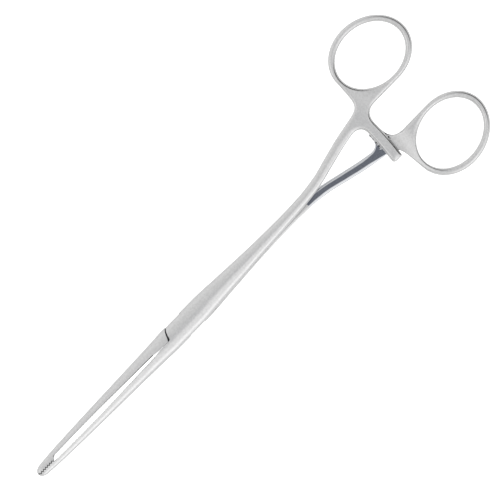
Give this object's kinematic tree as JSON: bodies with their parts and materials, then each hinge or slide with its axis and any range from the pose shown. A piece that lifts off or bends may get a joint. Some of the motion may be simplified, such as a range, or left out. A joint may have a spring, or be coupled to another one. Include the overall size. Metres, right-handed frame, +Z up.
{
  "type": "uterine clamp",
  "caption": "Long ring-handled clamp with a box lock, a ratchet between the shanks, slender bowed jaws with fine cross serrations and interlocking tip teeth.",
  "frame": {"origin": "on the axis of the lock's pin, at the underside of the lock, where the clamp rests", "axes": "+Y from the jaws to the finger rings, +X to the finger ring of the half with the tongue, +Z up when the clamp lies flat"},
  "size_m": [0.0778, 0.2399, 0.0078],
  "materials": {
    "box_half": "satin",
    "tongue_half": "satin, polished on the face that lies against the other shank",
    "lock_pin": "ground flush"
  },
  "bodies": {
    "box_side": {"box_half": "box_half", "lock_pin": "lock_pin"},
    "tongue_side": {"tongue_half": "tongue_half"}
  },
  "joints": [
    {"name": "lock_hinge", "type": "hinge", "parent": "box_side", "child": "tongue_side", "pos_m": [0, 0, 0.0039], "axis": [0, 0, -1], "range_deg": [0, 40]}
  ]
}
